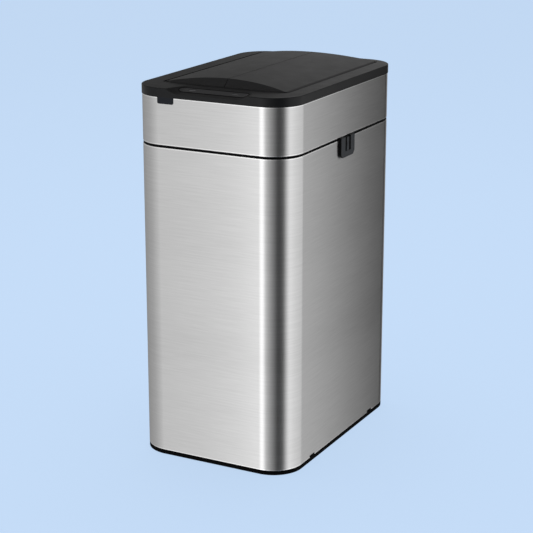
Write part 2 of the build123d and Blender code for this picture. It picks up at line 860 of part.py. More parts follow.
# Rocker switch beside the door, at rest on one of its two sides.
switch_plane = Plane(
    origin=(switch_x, housing_middle, floor_middle),
    x_dir=(0, cos(radians(switch_tilt)), sin(radians(switch_tilt))),
    z_dir=(1, 0, 0),
)
with BuildPart() as power_switch:
    with BuildSketch(switch_plane):
        with BuildLine():
            Polyline(
                (-switch_width / 2, -housing_floor / 2),
                (0, -housing_floor / 2 - sheet),
                (switch_width / 2, -housing_floor / 2),
                (switch_width / 2 - sheet, housing_floor / 2),
                (sheet - switch_width / 2, housing_floor / 2),
                close=True,
            )
        make_face()
    extrude(amount=switch_depth / 2, both=True)
    with BuildSketch(switch_plane):
        Circle(pin_radius)
    extrude(amount=switch_depth / 2 + pin_length, both=True)
save(power_switch.part, "power_switch")

# Four screws that hold the housing up to the frame's bosses.
with BuildPart() as housing_screws:
    with BuildSketch(Plane.XY.offset(housing_low)):
        with Locations((0, housing_middle)):
            housing_discs(screw_radius - rod_clear)
    extrude(amount=housing_height)
    with BuildSketch(Plane.XY.offset(housing_low - 2 * sheet)):
        with Locations((0, housing_middle)):
            housing_discs(screw_head)
    extrude(amount=2 * sheet)
save(housing_screws.part, "housing_screws")
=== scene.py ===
"""Visual model of the sensor trash can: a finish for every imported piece, and finer pieces round them."""

import logging
import math
from dataclasses import dataclass
from enum import Enum
from typing import Callable, Sequence

import bpy
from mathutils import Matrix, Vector


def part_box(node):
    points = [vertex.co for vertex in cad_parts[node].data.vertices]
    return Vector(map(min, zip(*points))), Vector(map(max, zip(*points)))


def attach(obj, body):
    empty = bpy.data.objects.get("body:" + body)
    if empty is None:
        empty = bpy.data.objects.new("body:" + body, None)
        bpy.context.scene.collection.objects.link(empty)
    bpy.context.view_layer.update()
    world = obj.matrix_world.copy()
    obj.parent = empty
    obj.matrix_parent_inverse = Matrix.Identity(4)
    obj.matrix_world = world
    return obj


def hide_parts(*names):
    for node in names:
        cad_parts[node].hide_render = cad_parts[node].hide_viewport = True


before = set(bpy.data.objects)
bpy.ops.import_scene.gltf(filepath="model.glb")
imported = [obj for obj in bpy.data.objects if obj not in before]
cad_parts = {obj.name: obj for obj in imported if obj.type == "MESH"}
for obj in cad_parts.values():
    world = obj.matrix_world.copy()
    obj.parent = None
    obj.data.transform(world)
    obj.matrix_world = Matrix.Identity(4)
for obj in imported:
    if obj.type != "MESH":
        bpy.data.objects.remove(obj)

log = logging.getLogger("trash_can")
MM = 0.001
BACKDROP_COLOUR = (0.552, 0.708, 0.921)

# A face whose normal reaches this far along an axis counts as facing that way.
FACING = 0.9
# Corner radius of a round-ended plate, as a share of its breadth. At a half the corners would meet.
ROUND_END = 0.4995
# Angles past which an edge is bevelled, and past which it stays sharp in the shading.
BEVEL_ANGLE = 0.6
SHARP_ANGLE = math.radians(35)
# How much the larger faces lead in the weighted normals.
NORMAL_WEIGHT = 80
# The Mix node's sockets for two colours and their mix, whose names repeat.
MIX_DARK = 6
MIX_LIGHT = 7
MIX_RESULT = 2
# How a finish mixes its grain with a slower drift, and what the mix does to the surface.
GRAIN_DETAIL = 3.0
GRAIN_ROUGHNESS = 0.6
GRAIN_SHARE = 0.55
DRIFT_LENGTH = 60
ROUGHNESS_SWING = 0.22
BUMP_STRENGTH = 0.35
COAT_ROUGHNESS = 0.12


class Body(Enum):
    """The rigid bodies that pieces ride on."""

    BIN = "body"
    HEAD = "head"
    RIGHT_LID = "right_lid"
    LEFT_LID = "left_lid"
    OPEN_KEY = "open_button"
    CLOSE_KEY = "close_button"


class Value:
    """A shader socket that takes part in Python arithmetic."""

    def __init__(self, shader: "Shader", socket: bpy.types.NodeSocket) -> None:
        """Wraps an output socket of the shader's tree."""
        self.shader = shader
        self.socket = socket

    def _math(self, operation: str, *terms: object) -> "Value":
        """Adds a Math node over the terms."""
        inputs = dict(enumerate(terms))
        return self.shader.node("ShaderNodeMath", {"operation": operation}, inputs)

    def __add__(self, other: "Value | float") -> "Value":
        """Sum."""
        return self._math("ADD", self, other)

    def __sub__(self, other: "Value | float") -> "Value":
        """Difference."""
        return self._math("SUBTRACT", self, other)

    def __rsub__(self, other: float) -> "Value":
        """Difference with a plain number first."""
        return self._math("SUBTRACT", other, self)

    def __mul__(self, other: "Value | float") -> "Value":
        """Product."""
        return self._math("MULTIPLY", self, other)

    def __truediv__(self, other: "Value | float") -> "Value":
        """Quotient."""
        return self._math("DIVIDE", self, other)

    __radd__ = __add__
    __rmul__ = __mul__

    def at_least(self, other: "Value | float") -> "Value":
        """The larger of the two."""
        return self._math("MAXIMUM", self, other)

    def size(self) -> "Value":
        """The value without its sign."""
        return self._math("ABSOLUTE", self)

    def angle_to(self, other: "Value | float") -> "Value":
        """The angle of the point (other, self), in radians."""
        return self._math("ARCTAN2", self, other)


class Shader:
    """A node tree of a material or of the world."""

    def __init__(self, tree: bpy.types.NodeTree) -> None:
        """Empties the tree."""
        self.tree = tree
        tree.nodes.clear()

    def node(self, kind: str, settings: dict | None = None, inputs: dict | None = None,
             output: int | str = 0) -> Value:
        """Adds a node.

        Args:
            kind: Blender's name for the node type.
            settings: properties of the node, and "stops" for a ramp.
            inputs: values or links by socket name or number.
            output: the output socket to return.

        Returns:
            The chosen output.
        """
        made = self.tree.nodes.new(kind)
        for key, value in (settings or {}).items():
            if key == "stops":
                self._set_stops(made.color_ramp.elements, value)
            else:
                setattr(made, key, value)
        for key, value in (inputs or {}).items():
            if isinstance(value, Value):
                self.tree.links.new(value.socket, made.inputs[key])
            else:
                made.inputs[key].default_value = value
        return Value(self, made.outputs[output] if made.outputs else None)

    @staticmethod
    def _set_stops(elements: bpy.types.ColorRampElements, stops: Sequence[tuple]) -> None:
        """Sets a ramp's stops.

        Args:
            elements: the ramp's elements, two at first.
            stops: pairs of place and colour, or of place and level.
        """
        while len(elements) < len(stops):
            elements.new(1.0)
        for element, (place, level) in zip(elements, stops):
            element.position = place
            element.color = (level, level, level, 1) if isinstance(level, float) else (*level, 1)

    def place(self) -> Value:
        """Object coordinates."""
        return self.node("ShaderNodeTexCoord", output="Object")

    def stretched(self, scale: Sequence[float]) -> Value:
        """Object coordinates with a scale on each axis."""
        return self.node("ShaderNodeMapping", None, {"Vector": self.place(), "Scale": scale})

    def noise(self, where: Value, scale: float, detail: float = 2.0, rough: float = 0.5) -> Value:
        """Noise between 0 and 1."""
        inputs = {"Vector": where, "Scale": scale, "Detail": detail, "Roughness": rough}
        return self.node("ShaderNodeTexNoise", None, inputs, "Fac")

    def tint(self, factor: Value, dark: Value | Sequence[float], light: Value | Sequence[float]) -> Value:
        """A colour between two others.

        Args:
            factor: 0 for dark and 1 for light.
            dark: a plain colour, or one from other nodes.
            light: likewise.

        Returns:
            The colour.
        """
        dark, light = (end if isinstance(end, Value) else (*end, 1) for end in (dark, light))
        inputs = {"Factor": factor, MIX_DARK: dark, MIX_LIGHT: light}
        return self.node("ShaderNodeMix", {"data_type": "RGBA"}, inputs, MIX_RESULT)

    def bump(self, height: Value, strength: float, distance: float) -> Value:
        """A bumped normal."""
        inputs = {"Height": height, "Strength": strength, "Distance": distance}
        return self.node("ShaderNodeBump", None, inputs)


def scaled(colour: Sequence[float], by: float) -> tuple[float, ...]:
    """A colour made darker or lighter."""
    return tuple(min(part * by, 1.0) for part in colour)


@dataclass(frozen=True)
class Finish:
    """A moulded or coated surface with a fine grain, as most of the bin's parts have.

    Args:
        name: the material's name.
        colour: linear base colour.
        roughness: mean roughness.
        grain: noise frequency per metre.
        relief: height of the grain in metres.
        spread: how far the colour drifts about its mean, as a share.
        metallic: 1 for bare metal.
        coat: clear coat weight.
        shine: strength of the mirror part, 0.5 as usual in plastics.
    """

    name: str
    colour: tuple[float, float, float]
    roughness: float = 0.45
    grain: float = 900.0
    relief: float = 0.00004
    spread: float = 0.08
    metallic: float = 0.0
    coat: float = 0.0
    shine: float = 0.5

    def stretch(self) -> tuple[float, float, float]:
        """Scale of the grain along each axis."""
        return (1.0, 1.0, 1.0)

    def constants(self) -> dict:
        """Shader inputs that are the same all over."""
        return {
            "Metallic": self.metallic,
            "Coat Weight": self.coat,
            "Coat Roughness": COAT_ROUGHNESS,
            "Specular IOR Level": self.shine,
        }

    def material(self) -> bpy.types.Material:
        """Builds the material on first use.

        Returns:
            The material, which all pieces of this finish share.
        """
        title = f"finish_{self.name}"
        if title in bpy.data.materials:
            return bpy.data.materials[title]
        made = bpy.data.materials.new(title)
        made.use_nodes = True
        made.diffuse_color = (*self.colour, 1)
        shader = Shader(made.node_tree)
        self.build(shader)
        return made

    def colour_over(self, shader: Shader, mix: Value) -> Value:
        """The base colour, which drifts with the grain."""
        dark, light = scaled(self.colour, 1 - self.spread), scaled(self.colour, 1 + self.spread)
        return shader.tint(mix, dark, light)

    def build(self, shader: Shader) -> None:
        """Lays the shader's nodes.

        Args:
            shader: the material's empty tree.
        """
        where = shader.stretched(self.stretch())
        grain = shader.noise(where, self.grain, GRAIN_DETAIL, GRAIN_ROUGHNESS)
        drift = shader.noise(where, self.grain / DRIFT_LENGTH)
        mix = grain * GRAIN_SHARE + drift * (1 - GRAIN_SHARE)
        inputs = {
            "Base Color": self.colour_over(shader, mix),
            "Roughness": (mix - 0.5) * ROUGHNESS_SWING + self.roughness,
            "Normal": shader.bump(grain, BUMP_STRENGTH, self.relief),
        }
        surface = shader.node("ShaderNodeBsdfPrincipled", None, inputs | self.constants())
        shader.node("ShaderNodeOutputMaterial", None, {"Surface": surface})


def sheet_edges() -> tuple[float, ...]:
    """Heights of the lower and upper edges of the two steel sheets."""
    return tuple(corner.z for node in ("body_shell", "head_band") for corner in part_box(node))


@dataclass(frozen=True)
class BrushedSteel(Finish):
    """Stainless sheet with a fine grain that runs level round the bin."""

    anisotropy: float = 0.86
    blur_turn: float = 0.25
    streak: float = 0.034
    # Painted highlight: the sheet edges it runs along, how far it reaches from each, how fast it fades, and
    # its colour.
    edge_heights: tuple[float, ...] = sheet_edges()
    highlight_reach: float = 2.1 * MM
    highlight_fade: float = 0.8 * MM
    painted_edge_colour: tuple[float, float, float] = (0.95, 0.95, 0.95)

    def stretch(self) -> tuple[float, float, float]:
        """Long level streaks."""
        return (self.streak, self.streak, 1.0)

    def colour_over(self, shader: Shader, mix: Value) -> Value:
        """Brushed grain, with a painted highlight along the rolled edges.

        Args:
            shader: the material's tree.
            mix: the grain's level.

        Returns:
            The base colour.
        """
        height = shader.node("ShaderNodeSeparateXYZ", None, {0: shader.place()}, "Z")
        # Painted highlight: full close to each sheet edge, fading away from it.
        near = height * 0.0
        for level in self.edge_heights:
            near = near.at_least((self.highlight_reach - (height - level).size()) / self.highlight_fade)
        return shader.tint(near, Finish.colour_over(self, shader, mix), self.painted_edge_colour)

    def constants(self) -> dict:
        """Bare metal that blurs what it mirrors upwards more than sideways."""
        return {"Metallic": 1.0, "Anisotropic": self.anisotropy, "Anisotropic Rotation": self.blur_turn}


@dataclass(frozen=True)
class LatchPlastic(Finish):
    """Satin black with painted shade: its edges and slots, which turn away from the bin's side, are painted
    near black, darker than its outward faces.
    """

    # Painted shade: the near-black colour of the edges and slots, and the facing over which the face's
    # colour takes over.
    painted_edge_colour: tuple[float, float, float] = (0.003, 0.003, 0.003)
    face_from: float = 0.8
    face_span: float = 0.15

    def colour_over(self, shader: Shader, mix: Value) -> Value:
        """The face's colour, and painted shade in near black where the surface turns away from the bin's
        side.

        Args:
            shader: the material's tree.
            mix: the grain's level.

        Returns:
            The base colour.
        """
        normal = shader.node("ShaderNodeTexCoord", output="Normal")
        outward = shader.node("ShaderNodeSeparateXYZ", None, {0: normal}, "X").size()
        # Painted shade: the more a face turns away from the bin's side, the nearer it goes to black.
        facing = (outward - self.face_from) / self.face_span
        return shader.tint(facing, self.painted_edge_colour, Finish.colour_over(self, shader, mix))


STEEL = BrushedSteel("steel_brushed", (0.63, 0.63, 0.63), 0.33, 430.0, 0.000014, 0.24)
LID_BLACK = Finish("lid_black", (0.010, 0.010, 0.0103), 0.42, 2600.0, 0.00003, 0.12, shine=0.5)
FRAME_BLACK = Finish("frame_black", (0.0060, 0.0060, 0.0063), 0.38, 2600.0, 0.00003, 0.12, shine=0.2)
SEAM_BLACK = Finish("seam_black", (0.0012, 0.0012, 0.0012), 0.7, 1800.0, 0.00003, 0.12, shine=0.04)
INNER_BLACK = Finish("inner_black", (0.014, 0.014, 0.0145), 0.6, 1500.0, 0.00004, 0.15, shine=0.35)
LATCH_BLACK = LatchPlastic("latch_black", (0.036, 0.036, 0.036), 0.42, 2200.0, 0.00003, 0.12, shine=0.12)
RUBBER = Finish("rubber_black", (0.008, 0.008, 0.008), 0.85, 1800.0, 0.00006, 0.2, shine=0.25)
PANEL = Finish("panel_smoked", (0.013, 0.013, 0.0138), 0.36, 700.0, 0.000004, 0.05, coat=0.02, shine=0.55)
TAB = Finish("tab_navy", (0.004, 0.006, 0.010), 0.34, 2200.0, 0.00002, 0.1, shine=0.2)
MARK = Finish("mark_grey", (0.12, 0.122, 0.126), 0.5, 3000.0, 0.00001, 0.06)
BOARD = Finish("board_green", (0.012, 0.085, 0.035), 0.35, 1500.0, 0.00001, 0.12, coat=0.3)
CHIP = Finish("chip_black", (0.015, 0.015, 0.016), 0.5, 3500.0, 0.00002, 0.1)
LENS = Finish("lens_violet", (0.022, 0.008, 0.03), 0.08, 900.0, 0.000002, 0.05, coat=0.6)
BRIGHT_METAL = Finish("metal_bright", (0.66, 0.66, 0.65), 0.24, 1400.0, 0.000008, 0.06, metallic=1.0)
GEAR = Finish("gear_acetal", (0.7, 0.69, 0.64), 0.42, 1300.0, 0.00002, 0.05)
MOTOR = Finish("motor_zinc", (0.4, 0.4, 0.39), 0.36, 1100.0, 0.00001, 0.1, metallic=1.0)
CELL = Finish("cell_wrap", (0.05, 0.06, 0.07), 0.28, 900.0, 0.000004, 0.08, coat=0.4)

NODE_FINISHES: dict[Finish, tuple[str, ...]] = {
    STEEL: ("body_shell", "head_band"),
    LID_BLACK: ("right_leaf", "left_leaf"),
    FRAME_BLACK: ("lid_frame", "head_liner"),
    SEAM_BLACK: ("base_tray", "rim_collar"),
    INNER_BLACK: ("right_leaf_cover", "left_leaf_cover", "battery_housing", "battery_door", "power_switch"),
    LATCH_BLACK: ("right_latch_plate", "left_latch_plate", "right_latch_tongue", "left_latch_tongue"),
    RUBBER: ("foot_pads", "throat_seal"),
    PANEL: ("sensor_window", "open_key", "close_key"),
    TAB: ("front_tab",),
    BOARD: ("control_board",),
    CHIP: ("key_domes",),
    LENS: ("infrared_pair",),
    BRIGHT_METAL: ("right_hinge_rod", "left_hinge_rod", "housing_screws", "battery_contacts"),
    GEAR: ("right_leaf_gear", "left_leaf_gear", "right_pinion", "left_pinion"),
    MOTOR: ("right_gearmotor", "left_gearmotor"),
    CELL: ("battery_cells",),
}


def dress(target: bpy.types.Object, finish: Finish) -> None:
    """Gives an object one finish all over."""
    target.data.materials.clear()
    target.data.materials.append(finish.material())


class Bench:
    """Edit-mode tools for making one piece at a time."""

    @staticmethod
    def clear() -> None:
        """Deselects every object."""
        bpy.ops.object.select_all(action="DESELECT")

    @staticmethod
    def only(target: bpy.types.Object) -> None:
        """Selects one object and makes it active.

        Args:
            target: the object.
        """
        Bench.clear()
        target.select_set(True)
        bpy.context.view_layer.objects.active = target

    @staticmethod
    def box(name: str, low: Sequence[float], high: Sequence[float]) -> bpy.types.Object:
        """Adds a box.

        Args:
            name: the object's name.
            low: the corner with the lowest coordinates.
            high: the corner with the highest.

        Returns:
            The box.
        """
        Bench.clear()
        low_corner, high_corner = Vector(low), Vector(high)
        bpy.ops.mesh.primitive_cube_add(
            size=1, location=(low_corner + high_corner) / 2, scale=high_corner - low_corner
        )
        return Bench.settle(name)

    @staticmethod
    def plate(name: str, size: Sequence[float], radius: float, steps: int, low: float,
              high: float) -> bpy.types.Object:
        """Adds a flat plate with rounded corners, centred in plan.

        Args:
            name: the object's name.
            size: its width and depth.
            radius: of its corners.
            steps: faces round each corner.
            low: its underside.
            high: its top.

        Returns:
            The plate.
        """
        Bench.clear()
        bpy.ops.mesh.primitive_plane_add(size=1, location=(0, 0, low))
        bpy.context.object.scale = (*size, 1)
        made = Bench.settle(name)
        Bench.choose(made, lambda face: True)
        bpy.ops.mesh.select_mode(type="VERT")
        bpy.ops.mesh.select_all(action="SELECT")
        bpy.ops.mesh.bevel(offset=radius, affect="VERTICES", segments=steps, profile=0.5)
        bpy.ops.mesh.select_all(action="SELECT")
        bpy.ops.mesh.extrude_region_move(TRANSFORM_OT_translate={"value": (0, 0, high - low)})
        bpy.ops.mesh.select_all(action="SELECT")
        bpy.ops.mesh.normals_make_consistent(inside=False)
        Bench.leave()
        return made

    @staticmethod
    def disc(name: str, centre: Sequence[float], radius: float, depth: float, axis: str = "Z",
             sides: int = 32) -> bpy.types.Object:
        """Adds a cylinder.

        Args:
            name: the object's name.
            centre: its middle.
            radius: its radius.
            depth: its length.
            axis: the axis that it lies along.
            sides: faces round it.

        Returns:
            The cylinder.
        """
        Bench.clear()
        turn = {"X": (0, math.pi / 2, 0), "Y": (math.pi / 2, 0, 0), "Z": (0, 0, 0)}[axis]
        bpy.ops.mesh.primitive_cylinder_add(
            vertices=sides, radius=radius, depth=depth, location=centre, rotation=turn
        )
        return Bench.settle(name)

    @staticmethod
    def settle(name: str) -> bpy.types.Object:
        """Names the active object and moves its place into its mesh.

        Args:
            name: the name for the object and its mesh.

        Returns:
            The object.
        """
        made = bpy.context.object
        made.name = made.data.name = name
        bpy.ops.object.transform_apply(location=True, rotation=True, scale=True)
        return made

    @staticmethod
    def choose(target: bpy.types.Object, wanted: Callable[[bpy.types.MeshPolygon], bool]) -> None:
        """Enters edit mode with the wanted faces selected.

        Args:
            target: the object to edit.
            wanted: says of a face whether it is selected.
        """
        Bench.only(target)
        bpy.ops.object.mode_set(mode="EDIT")
        bpy.ops.mesh.select_mode(type="FACE")
        bpy.ops.mesh.select_all(action="DESELECT")
        bpy.ops.object.mode_set(mode="OBJECT")
        for face in target.data.polygons:
            face.select = wanted(face)
        bpy.ops.object.mode_set(mode="EDIT")

    @staticmethod
    def leave() -> None:
        """Returns to object mode."""
        bpy.ops.object.mode_set(mode="OBJECT")

    @staticmethod
    def apply(target: bpy.types.Object, kind: str, **settings: object) -> None:
        """Adds a modifier and applies it.

        Args:
            target: the object.
            kind: Blender's name for the modifier type.
            settings: the modifier's properties.
        """
        Bench.only(target)
        modifier = target.modifiers.new(kind.lower(), kind)
        for key, value in settings.items():
            setattr(modifier, key, value)
        bpy.ops.object.modifier_apply(modifier=modifier.name)

    @staticmethod
    def soften(target: bpy.types.Object, radius: float, segments: int = 3) -> None:
        """Rounds the sharp edges and smooths the faces.

        Args:
            target: the object.
            radius: of the rounding.
            segments: faces across it.
        """
        limit = {"limit_method": "ANGLE", "angle_limit": BEVEL_ANGLE}
        Bench.apply(target, "BEVEL", width=radius, segments=segments, **limit)
        bpy.ops.object.shade_smooth_by_angle(angle=SHARP_ANGLE)
        Bench.apply(target, "WEIGHTED_NORMAL", weight=NORMAL_WEIGHT, keep_sharp=True)

    @staticmethod
    def cut(target: bpy.types.Object, tool: bpy.types.Object) -> None:
        """Cuts the tool out of the target and removes the tool."""
        Bench.apply(target, "BOOLEAN", object=tool, operation="DIFFERENCE", solver="EXACT")
        bpy.data.objects.remove(tool)

    @staticmethod
    def join(name: str, parts: Sequence[bpy.types.Object]) -> bpy.types.Object:
        """Joins parts into one piece.

        Args:
            name: the piece's name.
            parts: the objects, which become one.

        Returns:
            The piece.
        """
        Bench.clear()
        for part in parts:
            part.select_set(True)
        bpy.context.view_layer.objects.active = parts[0]
        bpy.ops.object.join()
        parts[0].name = parts[0].data.name = name
        return parts[0]


def keep(piece: bpy.types.Object, body: Body, slot: str, finish: Finish, *hidden: str) -> bpy.types.Object:
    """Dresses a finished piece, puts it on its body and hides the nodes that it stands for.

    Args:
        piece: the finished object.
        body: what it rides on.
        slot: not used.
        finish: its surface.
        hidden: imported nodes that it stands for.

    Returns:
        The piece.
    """
    dress(piece, finish)
    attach(piece, body.value)
    if hidden:
        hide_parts(*hidden)
    log.info("%s: %d faces", piece.name, len(piece.data.polygons))
    return piece


@dataclass
class SteelWraps:
    """The two brushed sheets, each with a rolled edge, and the dark ring that the body's stands on."""

    hem: float = 1.7 * MM
    corner: float = 52.0 * MM
    corner_steps: int = 28
    edge: float = 0.8 * MM
    seam_width: float = 7.0 * MM
    seam_proud: float = 0.3 * MM
    seam_round: float = 0.24 * MM
    foot_notch: tuple[float, float] = (18.0 * MM, 3.5 * MM)
    notch_from_end: float = 92.0 * MM
    latch_notch: tuple[float, float] = (12.0 * MM, 24.8 * MM)
    ring_lift: float = 0.5 * MM
    ring_proud: float = 0.1 * MM

    def wrap(self, node: str, low: float, high: float, grow: float = 0.0) -> bpy.types.Object:
        """Makes one closed wrap between two heights, on the node's outline.

        Args:
            node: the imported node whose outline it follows.
            low: its lower edge.
            high: its upper edge.
            grow: how far it stands outside that outline.

        Returns:
            The wrap, named after the node.
        """
        corner_low, corner_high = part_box(node)
        size = (corner_high - corner_low).xy + Vector((2 * grow, 2 * grow))
        made = Bench.plate(f"{node}_wrap", size, self.corner, self.corner_steps, low, high)
        Bench.choose(made, lambda face: abs(face.normal.z) > FACING)
        bpy.ops.mesh.delete(type="ONLY_FACE")
        Bench.leave()
        Bench.apply(made, "SOLIDIFY", thickness=self.hem, offset=-1.0, use_even_offset=True)
        return made

    def notch(self, sheet: bpy.types.Object, place: Sequence[float], size: Sequence[float]) -> None:
        """Cuts a notch through a sheet's edge.

        Args:
            sheet: the wrap to cut.
            place: the notch's middle, on the edge.
            size: its width along Y and its height.
        """
        middle = Vector(place)
        reach = Vector((3 * self.hem, size[0] / 2, size[1]))
        Bench.cut(sheet, Bench.box("notch", middle - reach, middle + reach))

    def back_seam(self, node: str, body: Body) -> None:
        """The folded lap where a sheet closes at the back.

        Args:
            node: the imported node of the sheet.
            body: what it rides on.
        """
        low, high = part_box(node)
        half = self.seam_width / 2
        seam = Bench.box(
            f"{node}_seam",
            (-half, high.y - self.hem / 2, low.z + self.hem),
            (half, high.y + self.seam_proud, high.z - self.hem),
        )
        Bench.soften(seam, self.seam_round)
        keep(seam, body, "steel", STEEL)

    def foot_ring(self) -> None:
        """The upright face of the moulded base, on show under the steel."""
        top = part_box("body_shell")[0].z
        ring = self.wrap("base_tray", self.ring_lift, top, self.ring_proud)
        Bench.soften(ring, self.edge / 2)
        keep(ring, Body.BIN, "black_plastic", SEAM_BLACK)

    def build(self) -> None:
        """Makes both wraps and the ring under them."""
        self.foot_ring()
        low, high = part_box("body_shell")
        body = self.wrap("body_shell", low.z, high.z)
        for side in (-1, 1):
            for end in (-1, 1):
                place = (side * high.x, end * (high.y - self.notch_from_end), low.z)
                self.notch(body, place, self.foot_notch)
            self.notch(body, (side * high.x, 0, high.z), self.latch_notch)
        Bench.soften(body, self.edge)
        keep(body, Body.BIN, "steel", STEEL, "body_shell")
        self.back_seam("body_shell", Body.BIN)
        low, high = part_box("head_band")
        head = self.wrap("head_band", low.z, high.z)
        Bench.soften(head, self.edge)
        keep(head, Body.HEAD, "steel", STEEL, "head_band")
        self.back_seam("head_band", Body.HEAD)


@dataclass
class SensorPanel:
    """The sensor window's face and rim, the marks on the two keys, and the control board's small parts."""

    scoop_half: float = 75.0 * MM
    scoop_radius: float = 40.0 * MM
    scoop_drop: float = 7.5 * MM
    scoop_run: float = 41.0 * MM
    window_thickness: float = 1.6 * MM
    key_hole: float = 7.1 * MM
    hole_sides: int = 48
    tool_depth: float = 1.0 * MM
    face_thickness: float = 0.3 * MM
    face_lift: float = 0.12 * MM
    slices: int = 8
    key_offset: float = 38.7 * MM
    mark_radius: float = 2.3 * MM
    mark_height: float = 0.08 * MM
    mark_line: float = 0.2
    mark_spread: float = 1.35
    bar: tuple[float, float] = (0.5 * MM, 4.4 * MM)
    rim_width: float = 1.1 * MM
    rim_height: float = 0.25 * MM
    rim_turns: int = 16
    board_drop: float = 8.1 * MM
    chip_round: float = 0.25 * MM
    chip_root: float = 0.2
    chips: tuple[tuple[float, ...], ...] = (
        (-44, 0, 9, 6, 2.6), (-22, 1, 5, 4, 1.4), (-8, -2, 7, 7, 1.2),
        (9, 2, 3, 6, 1.0), (22, -1, 8, 5, 3.4), (43, 0, 6, 8, 2.2),
    )

    def __post_init__(self) -> None:
        """Works out the scoop's slope and where its floor stops being flat."""
        self.slope = math.atan2(self.scoop_drop, self.scoop_run)
        fallen = self.scoop_radius - self.scoop_drop
        self.flat_half = self.scoop_half - math.sqrt(self.scoop_radius**2 - fallen**2)

    def follow_scoop(self, piece: bpy.types.Object) -> None:
        """Bends a flat piece up the arcs at the scoop's two ends.

        Args:
            piece: the piece, made at the origin.
        """
        end = max(vertex.co.x for vertex in piece.data.vertices)
        step = (end - self.flat_half) / self.slices
        Bench.choose(piece, lambda face: True)
        for side in (-1, 1):
            for number in range(self.slices):
                bpy.ops.mesh.select_all(action="SELECT")
                place = side * (self.flat_half + number * step)
                bpy.ops.mesh.bisect(plane_co=(place, 0, 0), plane_no=(1, 0, 0))
        Bench.leave()
        for vertex in piece.data.vertices:
            past = max(abs(vertex.co.x) - self.flat_half, 0.0)
            rise = self.scoop_radius - math.sqrt(self.scoop_radius**2 - past**2)
            vertex.co.z += rise * math.cos(self.slope)

    def window_parts(self) -> None:
        """A smoked face that follows the scoop, and round it a thin dark ring, painted shade for the gap
        round the window.
        """
        low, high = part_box("sensor_window")
        length = high.x - low.x
        breadth = (high.y - low.y - self.window_thickness * math.sin(self.slope)) / math.cos(self.slope)

        def stadium(name: str, grow: float, bottom: float, top: float) -> bpy.types.Object:
            """A plate of the window's outline, grown all round."""
            size = (length + 2 * grow, breadth + 2 * grow)
            return Bench.plate(name, size, size[1] * ROUND_END, self.rim_turns, bottom, top)

        face = stadium("window_face", 0.0, -self.face_thickness, 0.0)
        for side in (-1, 1):
            place = (side * self.key_offset, 0, 0)
            tool = Bench.disc("key_hole", place, self.key_hole, self.tool_depth, "Z", self.hole_sides)
            Bench.cut(face, tool)
        # Painted shade: a thin dark ring round the window stands for the shade in its gap.
        ring = stadium("window_gap_shade_ring", self.rim_width / 2, -self.face_thickness, self.rim_height)
        Bench.cut(ring, stadium("rim_hole", -self.rim_width / 2, -self.tool_depth, self.tool_depth))
        for piece, slot, finish in ((face, "smoked_panel", PANEL), (ring, "black_plastic", SEAM_BLACK)):
            self.follow_scoop(piece)
            self.tilt(piece, 0, self.face_lift)
            keep(piece, Body.HEAD, slot, finish)

    def tilt(self, piece: bpy.types.Object, x: float, lift: float) -> None:
        """Lays a flat piece on the sensor window.

        Args:
            piece: the piece, made at the origin.
            x: where it goes along the window.
            lift: how far it stands above the window's surface.
        """
        low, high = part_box("sensor_window")
        up = Vector((0, -math.sin(self.slope), math.cos(self.slope)))
        surface = (low + high) / 2 + up * (self.window_thickness / 2 + lift)
        piece.rotation_euler = (self.slope, 0, 0)
        piece.location = (x, surface.y, surface.z)
        Bench.only(piece)
        bpy.ops.object.transform_apply(location=True, rotation=True, scale=True)

    def arrow(self, x: float, points_right: bool) -> bpy.types.Object:
        """A small three-cornered mark.

        Args:
            x: its place along the window.
            points_right: whether it points towards +X.

        Returns:
            The mark.
        """
        Bench.clear()
        turn = -math.pi / 2 if points_right else math.pi / 2
        bpy.ops.mesh.primitive_cylinder_add(
            vertices=3, radius=self.mark_radius, depth=self.mark_height,
            location=(x, 0, 0), rotation=(0, 0, turn),
        )
        made = Bench.settle("mark_arrow")
        Bench.choose(made, lambda face: face.normal.z > FACING)
        bpy.ops.mesh.inset(thickness=self.mark_radius * self.mark_line)
        bpy.ops.mesh.delete(type="FACE")
        Bench.leave()
        return made

    def marks(self, name: str, side: int, body: Body) -> None:
        """Two arrows and a bar between them: apart to open, together to close.

        Args:
            name: the piece's name.
            side: -1 for the open key and 1 for the close key.
            body: the key that it rides on.
        """
        opens = side < 0
        gap = self.mark_radius * self.mark_spread
        half_bar = Vector((self.bar[0], self.bar[1], self.mark_height)) / 2
        parts = [
            Bench.box("mark_bar", -half_bar, half_bar),
            self.arrow(gap, opens),
            self.arrow(-gap, not opens),
        ]
        marks = Bench.join(name, parts)
        self.tilt(marks, side * self.key_offset, 0)
        keep(marks, body, "smoked_panel", MARK)

    def components(self) -> None:
        """Blocks for the parts on the board's underside, each a place, a size and a height in mm."""
        parts = []
        for x, y, length, breadth, height in self.chips:
            low = Vector((x - length / 2, y - breadth / 2, -height)) * MM
            high = Vector((x + length / 2, y + breadth / 2, self.chip_root)) * MM
            chip = Bench.box("board_chip", low, high)
            Bench.soften(chip, self.chip_round, 2)
            parts.append(chip)
        group = Bench.join("board_components", parts)
        self.tilt(group, 0, -self.board_drop)
        keep(group, Body.HEAD, "dark_parts", CHIP)

    def build(self) -> None:
        """Makes the window's parts, the marks and the board's parts."""
        self.window_parts()
        self.marks("open_mark", -1, Body.OPEN_KEY)
        self.marks("close_mark", 1, Body.CLOSE_KEY)
        self.components()


